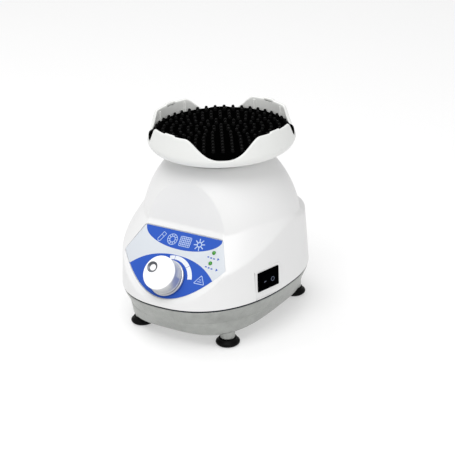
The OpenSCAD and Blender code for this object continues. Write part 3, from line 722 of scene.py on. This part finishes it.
def build_tray():
    """The white bowl with its lobes. Inside each lobe are a slit and a rib at each side of it."""
    th = circle(720, -math.pi)
    top = rim_height(th)
    wall = 2.3
    lip_w, lip_h = 1.1, 0.9

    def row(r, z):
        r = np.broadcast_to(r, th.shape)
        return np.stack([r * np.sin(th), -r * np.cos(th), np.broadcast_to(z, th.shape)], 1)

    def lean(z):
        """How far the rim has leant in at height z."""
        return 1.5 * smooth_step(138, 155, z) ** 0.8

    def rim_level(share):
        """Height at a share of the way up the rim."""
        return RIM_LOW + share * (top - lip_h - RIM_LOW)

    bowl = rounded([(30, 131.25), (46.5, 131.25), (50.5, 131.9), (52.6, 133.0), (54.2, 135.0),
                    (TRAY_R, RIM_LOW)], [0, 1.5, 1.0, 1.0, 1.2, 0], 4)
    rows = [row(r, z) for r, z in bowl]
    for z in map(rim_level, np.linspace(0.12, 1, 9)):
        rows.append(row(TRAY_R - lean(z), z))
    for t in np.radians([25, 45, 65, 90, 115, 135, 155, 180]):
        lip_r = TRAY_R - lean(top) - lip_w * (1 - math.cos(t))
        rows.append(row(lip_r, top - lip_h * (1 - math.sin(t))))
    for z in map(rim_level, np.linspace(1, 0, 17)[1:]):
        rows.append(row(TRAY_R - lean(z) - wall, z))
    inner = rounded([(TRAY_R - wall, RIM_LOW), (TRAY_R - 3.2, 135.6), (TRAY_R - 5.6, 133.8), (30, 133.7)],
                    0.8, 3)
    rows += [row(r, z) for r, z in inner[1:]]
    tray = skin("tray", rows, ON_CRANK, smooth_angle=40)
    slit_outline = rectangle(8.4, 1.2, 0.5, (0, LOBE_TOP - 1.3))
    rib_outline = rectangle(1.2, 13.5, 0.5, (0, LOBE_TOP - 9.2))
    rib_turn = 15.2
    for turn in (-TAB_DIR, TAB_DIR, 180 - TAB_DIR, 180 + TAB_DIR):
        direction = NOTCH_DIR + turn
        slit = slab("slit", slit_outline, -1.5, 2.0, facing_out(direction, TRAY_R - 3.9))
        combine(tray, slit, "DIFFERENCE", 40)
        for side in (-rib_turn, rib_turn):
            rib = slab("rib", rib_outline, 0, 1.4, facing_out(direction + side, TRAY_R - 4.3))
            combine(tray, rib, "UNION", 40)
    return lighten_inside(tray)


PAD_R = TRAY_R - 2.7
PAD_FLAT = PAD_TOP - 1.9                      # the pad between its studs


def build_disc():
    """The rubber pad without its studs: a thick disc that laps over the rim at the notches."""
    th = circle(288, -math.pi)
    a = from_wide_notch(th)
    lip = 1.7 * smooth_step(11, 5, np.minimum(a, 90 - a))
    side = rounded([(46, 133.95), (PAD_R - 2.6, 134.1), (PAD_R - 0.7, 136), (PAD_R, 138.3), (PAD_R, 139.5),
                    (PAD_R, PAD_FLAT - 1.4), (PAD_R - 2.2, PAD_FLAT), (PAD_R - 4, PAD_FLAT)],
                   [0, 1, 1, 0.3, 0.3, 0.8, 0.8, 0], 4)
    rows = []
    for r, z in side:
        reach = r + lip * (smooth_step(138.4, 139.4, z) if r > PAD_R - 3 else 0)
        rows.append(np.stack([reach * np.sin(th), -reach * np.cos(th), np.full(len(th), z)], 1))
    return dress(skin("pad", rows, ON_CRANK, smooth_angle=40), "rubber_black")


def stud_places():
    """Middles of the studs: one at the pad's middle, the others on rings about it."""
    rings, pitch = 8, 6.9
    first_dir = math.radians(NOTCH_DIR - 90)
    places = [(0.0, 0.0)]
    for ring in range(1, rings + 1):
        ring_r = (PAD_R - 2.9) * ring / rings
        count = round(2 * math.pi * ring_r / pitch)
        places += [(ring_r * math.cos(v), ring_r * math.sin(v)) for v in circle(count, first_dir)]
    return places


def build_studs():
    """The tapered studs, in one mesh."""
    profile = [(1.6, PAD_FLAT - 0.3), (1.35, PAD_FLAT + 0.2), (1.2, PAD_FLAT + 0.7),
               (1.15, PAD_FLAT + 1.2), (0.95, PAD_FLAT + 1.65), (0.5, PAD_TOP)]
    points, faces = [], []
    n = 14
    sides = band_faces(len(profile), n, False)
    caps = [tuple(range(n)), tuple((len(profile) - 1) * n + k for k in range(n - 1, -1, -1))]
    for x, y in stud_places():
        first = len(points)
        for r, z in profile:
            points += [(x + r * math.cos(v), y + r * math.sin(v), z) for v in circle(n)]
        faces += [tuple(first + k for k in face) for face in [*sides, *caps]]
    return dress(make_mesh("studs", points, faces, ON_CRANK, 50), "stud_rubber")


show(build_tray(), "head", None, "tray", slot="tray_white")
show(joined("pad", [build_disc(), build_studs()]), "head", None, "pad", slot="rubber_black")


# ---------------------------------------------------------------- panel overlay

INK = 0.04                                    # height of one layer of print
SUNK = -0.02                                  # where a print starts, just under the film's face


def ink(outline, level=0):
    """A printed area on the overlay, as thin as ink; level lifts one print over another."""
    return slab("ink", outline, SUNK, INK * (1 + level), ON_PANEL)


def ring_of(outline, width, level=1):
    """A printed line along a closed outline."""
    outer, inner = offset(outline, width / 2), offset(outline, -width / 2)
    low, high = SUNK, INK * (1 + level)
    rows = [at_height(outer, low), at_height(outer, high), at_height(inner, high), at_height(inner, low)]
    return skin("ink", rows, ON_PANEL, loop=True)


def stroke(points, width, level=1):
    """A printed line along an open path."""
    points = np.asarray(points, float)
    along = np.gradient(points, axis=0)
    along /= np.linalg.norm(along, axis=1)[:, None]
    side = np.stack([-along[:, 1], along[:, 0]], 1) * width / 2
    return ink(np.r_[points - side, (points + side)[::-1]], level)


def disc(x, y, r, n=32):
    """A circle's outline."""
    a = circle(n)
    return np.stack([x + r * np.cos(a), y + r * np.sin(a)], 1)


def turned(points, angle, centre):
    """Points turned by degrees and moved to a centre."""
    c, s = math.cos(math.radians(angle)), math.sin(math.radians(angle))
    return np.asarray(points) @ np.array([[c, s], [-s, c]]) + centre


SCALE_START, SCALE_END = -15, 80.5            # degrees from the panel's up direction, clockwise


def arc_segment(start, end):
    """A piece of the speed scale, which widens clockwise round the knob."""
    phi = np.radians(np.linspace(start, end, 40))
    share = (np.degrees(phi) - SCALE_START) / (SCALE_END - SCALE_START)
    inner, outer = 14.7 + 1.5 * share, 17.6 + 2.2 * share
    a = np.stack([inner * np.sin(phi), inner * np.cos(phi)], 1)
    b = np.stack([outer * np.sin(phi), outer * np.cos(phi)], 1)
    return ink(np.r_[a, b[::-1]], 1)


def field_outline():
    """The lower blue field, between an arch and the overlay's curved bottom."""
    u = np.linspace(-36.2, 36.6, 90)
    arch = 18.4 - 0.0068 * (u - 0.5) ** 2 - 2.6e-6 * (u - 0.5) ** 4
    bottom = np.minimum(-15.0 + 0.0157 * u * u, arch - 0.05)
    return np.r_[np.stack([u, bottom], 1), np.stack([u, arch], 1)[::-1]]


def band_outline():
    """The upper blue band: half an ellipse that hangs from the overlay's top edge."""
    u = np.linspace(-32.3, 33.3, 90)
    bottom = 36.7 - 13.9 * np.sqrt(np.maximum(0, 1 - ((u - 0.6) / 33.4) ** 2))
    corners = [*zip(u, bottom), (33.4, 36.45), (-33.0, 36.45)]
    return np.array(rounded(corners, [0] * len(u) + [1.6, 1.6], 6, closed=True))


LED_PLACES = {"run_led": (29.7, 26.2), "touch_led": (29.7, 18.1)}
LED_R = 1.5


def rays(centre, count, radii, width, start=0):
    """Printed lines that run outwards from a centre."""
    lines = []
    for k in range(count):
        angle = math.radians(360 / count * k + start)
        ray = np.array([math.cos(angle), math.sin(angle)])
        lines.append(stroke([ray * r + centre for r in radii], width, 2))
    return lines


def print_tube(centre):
    """A pictogram of a leaning tube with a line across it."""
    r, lean = 1.35, 60
    tube = rounded([(-3.9, -r), (3.9, -r), (3.9, r), (-3.9, r)], [1.3, 0.4, 0.4, 1.3], 6, True)
    across = [(1.2, -r), (1.2, 0), (1.2, r)]
    return [ring_of(turned(tube, lean, centre), 0.42), stroke(turned(across, lean, centre), 0.35)]


def print_holder(centre):
    """A pictogram of a round holder: two rings with ten lines between them."""
    rings = [ring_of(disc(*centre, 4.1, 40), 0.45), ring_of(disc(*centre, 2.2, 32), 0.45)]
    return rings + rays(centre, 10, (2.3, 3.1, 3.9), 0.5)


def print_rack(centre):
    """A pictogram of a rack: a frame with a grid in it."""
    x, y = centre
    w, h = 9.2, 7.4
    lines = [ring_of(rectangle(w, h, 0.8, centre), 0.45)]
    for k in range(1, 6):
        at = x - w / 2 + w * k / 6
        lines.append(stroke([(at, y - 3.6), (at, y), (at, y + 3.6)], 0.4))
    for k in range(1, 5):
        at = y - h / 2 + h * k / 5
        lines.append(stroke([(x - 4.5, at), (x, at), (x + 4.5, at)], 0.4, 2))
    return lines


def print_burst(centre):
    """A pictogram of a small ring with eight rays."""
    return [ring_of(disc(*centre, 1.75, 32), 0.75), *rays(centre, 8, (1.9, 3.2, 4.6), 0.75, 10)]


def print_warning():
    """A triangle with two short bars in it."""
    wedge = rounded([(21.9, 1.2), (30.5, 1.4), (26.5, 7.9)], 0.8, 4, True)
    bars = [[(24.6, 2.9), (26.3, 2.95), (28.0, 3.0)], [(25.5, 4.5), (26.4, 4.52), (27.3, 4.55)]]
    return [ring_of(wedge, 0.5), *(stroke(bar, 0.45) for bar in bars)]


def print_lamp_marks(x, heights, arrow_x, arrow_y):
    """Three small marks in a row and an arrowhead, in place of the words at a lamp."""
    arrow = [(arrow_x, arrow_y + 1.1), (arrow_x, arrow_y - 1.1), (arrow_x + 1.8, arrow_y)]
    marks = [ink(rectangle(1.5, 0.9, 0.2, (x + 2.5 * k, y))) for k, y in enumerate(heights)]
    return [ink(np.array(arrow)), *marks]


def hole(radius, x, y, n):
    """What is cut from a film or a print at x, y on the panel."""
    return lathe("hole", [(radius, -3), (radius, 3)], place_on_panel(x, y), n)


def build_overlay():
    """The film with its holes, and all that is printed on it."""
    film = slab("film", overlay_outline(), -0.78, 0, ON_PANEL, edge=0.1, steps=2)
    field = ink(field_outline())
    for sheet in (film, field):
        combine(sheet, hole(3.6, 0, 0, 64), "DIFFERENCE")
    for x, y in LED_PLACES.values():
        combine(film, hole(1.56, x, y, 48), "DIFFERENCE")
    prints = {
        "ink_blue": [field, ink(band_outline()), *print_lamp_marks(26.4, (22.4, 22.1, 21.9), 34.2, 22.2),
                     *print_lamp_marks(27.2, (14.9, 14.6, 14.3), 35.8, 14.3)],
        "ink_white": [arc_segment(SCALE_START, -0.5), arc_segment(0.5, 47.1),
                      arc_segment(48.2, SCALE_END)],
        "ink_light": [*print_tube((-17, 29.7)), *print_holder((-7.5, 29.4)), *print_rack((3.6, 29.5)),
                      *print_burst((15.9, 29.7)), *print_warning()],
    }
    pieces = [dress(film, "overlay_print")]
    for finish, parts in prints.items():
        pieces += [dress(part, finish) for part in parts]
    return joined("overlay", pieces)


show(build_overlay(), "root", None, "panel_overlay", slot="overlay_print")
for name, (x, y) in LED_PLACES.items():
    angles = np.radians([0, 15, 30, 45, 60, 75, 86])
    dome = [(LED_R * math.cos(t), -0.1 + 1.1 * math.sin(t)) for t in angles]
    led = lathe(name + "_lens", [(LED_R, -8), (LED_R, -0.2), *dome], place_on_panel(x, y), 48)
    show(led, "root", "led_green", name)


# ---------------------------------------------------------------- knob

KNOB_R = 13.15
KNOB_H = 14.9                                 # the knob's face above the panel


def build_knob_body():
    """The turned metal body: a wider foot, a groove above it, and a bore for the pot's shaft."""
    top = KNOB_H - 1.65
    foot_r, groove_r = KNOB_R + 0.6, KNOB_R - 1.2
    profile = rounded([(5.8, 0.5), (KNOB_R + 0.1, 0.5), (foot_r, 1.0), (foot_r, 2.2), (KNOB_R + 0.1, 2.5),
                       (groove_r, 2.7), (groove_r, 3.5), (KNOB_R, 3.8), (KNOB_R, 4.6), (KNOB_R - 0.3, 4.9),
                       (KNOB_R - 0.3, top - 0.3), (KNOB_R - 0.5, top), (3.1, top), (3.1, 2.5), (5.8, 2.5)],
                      [0.1, 0.3, 0.3, 0.3, 0.2, 0.2, 0.2, 0.2, 0.2, 0.2, 0.2, 0.1, 0.1, 0.1, 0.2], 4)
    return lathe("knob", profile, ON_PANEL, 160, loop=True, smooth_angle=28)


def build_knob_cap():
    """The face, painted near white for the bright reflection in its polish, with a round dimple lined by a
    metal ring painted dark for the dark reflection in its wall.
    """
    profile = rounded([(KNOB_R - 0.4, KNOB_H - 1.6), (KNOB_R - 0.3, KNOB_H - 0.9),
                       (KNOB_R - 0.8, KNOB_H - 0.2), (KNOB_R - 2.0, KNOB_H), (0.5, KNOB_H)],
                      [0, 0.3, 0.5, 0.6, 0], 5)
    cap = lathe("knob_face", profile, ON_PANEL, 160, smooth_angle=40)
    cup = [(0.3, -1.35), (2.2, -1.35), (2.55, -1.3), (4.1, 0.0), (5.2, 0.9)]
    at = place_on_panel(-6.4, 2.7)
    at[:3, 3] += OUT * KNOB_H
    combine(cap, lathe("cup", cup, at, 96), "DIFFERENCE", 40)
    # The dimple's sloping wall: a metal ring painted darker than the face, a painted reflection of dark
    # surroundings
    wall = [(2.4, -1.3), (2.6, -1.24), (4.05, 0.0), (4.2, 0.04), (4.3, -0.1), (2.5, -1.45)]
    painted_reflection_ring = dress(lathe("dimple", wall, at, 96, loop=True), "dimple_painted_reflection")
    return joined("knob_face", [dress(cap, "knob_white"), painted_reflection_ring])


show(build_knob_body(), "knob", "knob_metal", "knob_body")
show(build_knob_cap(), "knob", None, "knob_cap", slot="knob_white")


# ---------------------------------------------------------------- rocker switch

def build_switch_frame():
    """The switch's frame and the tub behind it, with the opening for the rocker."""
    outline = rectangle(SWITCH_L, SWITCH_H, 0.7)
    rim = slab("switch_frame", outline, -LIP, 0, ON_SWITCH, edge=0.35)
    combine(rim, slab("tub", rectangle(19.2, 12.8, 0.4), -13.5, -0.3, ON_SWITCH), "UNION")
    mouth = rectangle(16.4, 10.4, 0.5)
    opening = [at_height(mouth, -9.5), at_height(mouth, -0.4), at_height(offset(mouth, 0.5), 0.2)]
    return combine(rim, skin("opening", opening, ON_SWITCH), "DIFFERENCE")


def build_rocker():
    """The rocker at rest: its rear half is pressed in. The profile runs from front to back."""
    half, end_out, middle_out = 7.6, 0.5, -0.5
    profile = rounded([(-7.2, -3.4), (-3, -6), (3, -6), (7.2, -3.4), (half, end_out), (0, middle_out),
                       (-half, end_out)], [0.4, 0.5, 0.5, 0.4, 0.5, 6, 0.5], 5, closed=True)
    profile = np.array(profile)
    tilt = math.radians(6)
    c, s = math.cos(tilt), math.sin(tilt)

    def spot(p, y):
        """Where a point goes when the rocker is tilted: p is (along, out), y is up."""
        x, out = p[0], p[1] + PIVOT_DEPTH
        return (x * c + out * s, y, -x * s + out * c - PIVOT_DEPTH)

    rows = []
    for y, inset in ((-5.0, 0.5), (-4.85, 0.15), (-4.5, 0), (4.5, 0), (4.85, 0.15), (5.0, 0.5)):
        rows.append([spot(p, y) for p in offset(profile, -inset)])
    body = skin("rocker", rows, ON_SWITCH, smooth_angle=40)

    def lift(points, h):
        """Points (along, up) brought to a height h over the rocker's face."""
        out = [middle_out + (end_out - middle_out) * abs(along) / half + h for along, _ in points]
        return [spot((along, level), up) for (along, up), level in zip(points, out)]

    low, high = -0.1, 0.12
    bar = rectangle(2.6, 0.55, 0.2, (-4.6, -0.6))
    ring = disc(4.1, -1.4, 1.5, 24)
    outer, inner = offset(ring, 0.2), offset(ring, -0.2)
    ring_rows = [lift(outer, low), lift(outer, high), lift(inner, high), lift(inner, low)]
    marks = [skin("mark", [lift(bar, low), lift(bar, high)], ON_SWITCH),
             skin("mark", ring_rows, ON_SWITCH, loop=True)]
    for mark in marks:
        dress(mark, "ink_grey")
    return joined("rocker", [dress(body, "black_plastic"), *marks])


show(build_switch_frame(), "root", "black_plastic", "switch_frame")
show(build_rocker(), "rocker", None, "switch_rocker", slot="black_plastic")


# ---------------------------------------------------------------- mains inlet at the back

def build_inlet():
    """The flange and the tub behind it, with the socket and the drawer's slot."""
    body = slab("inlet", rectangle(INLET_W, INLET_H, 2.5), -FLANGE_T, 0, ON_INLET, edge=0.6)
    combine(body, slab("tub", rectangle(28, 27, 1), -24.6, -1, ON_INLET), "UNION")
    socket = [(-12, -4.8), (12, -4.8), (12, 6.4), (8.5, 11.2), (-8.5, 11.2), (-12, 6.4)]
    socket = np.array(rounded(socket, 1.2, 4, True))
    combine(body, slab("socket", socket, -14.6, 3, ON_INLET), "DIFFERENCE")
    slot = rectangle(18.6, 6.6, 0.6, (0, DRAWER_MID))
    combine(body, slab("slot", slot, -21.6, 3, ON_INLET), "DIFFERENCE")
    return body


def build_drawer():
    """The fuse drawer: a front plate and a tray behind it, hollow from above."""
    back, front = drawer_low[1] - INLET_FACE, drawer_high[1] - INLET_FACE
    plate_area = rectangle(20, 6.4, 0.8, (0, DRAWER_MID))
    plate = slab("drawer", plate_area, front - 1.2, front, ON_INLET, edge=0.4)
    tray = slab("drawer_tray", rectangle(18, 6, 0.4, (0, DRAWER_MID)), back, front - 0.9, ON_INLET)
    hollow = slab("hollow", rectangle(16, 4.6, 0.3, (0, DRAWER_MID + 1.2)), -16.6, -2.6, ON_INLET)
    combine(tray, hollow, "DIFFERENCE")
    return combine(plate, tray, "UNION")


show(build_inlet(), "root", "black_plastic", "inlet_body")
show(build_drawer(), "fuse_drawer", "black_plastic", "fuse_drawer")


# ---------------------------------------------------------------- camera and light

def build_camera():
    """The photograph's view: from the right of the front, a little above, and rolled slightly."""
    data = bpy.data.cameras.new("camera")
    data.lens = 124.53
    data.sensor_width = 36
    data.clip_start = 0.01
    data.clip_end = 50
    camera = bpy.data.objects.new("camera", data)
    position = Matrix.Translation((0.5988, -0.9097, 0.5379))
    to_the_right = Matrix.Rotation(math.radians(32.804), 4, "Z")
    above = Matrix.Rotation(math.radians(90 - 23.347), 4, "X")
    roll = Matrix.Rotation(math.radians(-2.022), 4, "Z")
    camera.matrix_world = position @ to_the_right @ above @ roll
    bpy.context.scene.collection.objects.link(camera)
    bpy.context.scene.camera = camera


def area_light(name, position, size, power):
    """A round lamp that points at the middle of the object."""
    data = bpy.data.lights.new(name, "AREA")
    data.shape = "DISK"
    data.size = size
    data.energy = power
    lamp = bpy.data.objects.new(name, data)
    lamp.location = position
    lamp.rotation_mode = "QUATERNION"
    lamp.rotation_quaternion = (Vector(position) - Vector((0, 0, 0.08))).to_track_quat("Z", "Y")
    bpy.context.scene.collection.objects.link(lamp)


def build_world():
    """Even white light from all sides."""
    world = bpy.data.worlds.new("studio")
    world.use_nodes = True
    sky = world.node_tree.nodes["Background"]
    sky.inputs["Color"].default_value = (1, 1, 1, 1)
    sky.inputs["Strength"].default_value = 0.6
    bpy.context.scene.world = world
    bpy.context.scene.view_settings.view_transform = "Standard"


def build_floor():
    """The plain pale floor, which isn't part of the object."""
    half = 3000
    corners = [(-half, -half, 0), (half, -half, 0), (half, half, 0), (-half, half, 0)]
    floor = make_mesh("floor", corners, [(0, 1, 2, 3)])
    material("floor", (200, 200, 200), 0.9, grain=60, bump=0.0, tint=0.004, glow=0.72)
    dress(floor, "floor")


build_camera()
build_world()
area_light("key", (0.15, -0.6, 1.25), 1.0, 9.0)
area_light("front", (1.05, -0.8, 0.7), 0.9, 2.3)
area_light("left", (-0.75, 0.1, 1.3), 0.9, 4.0)
build_floor()
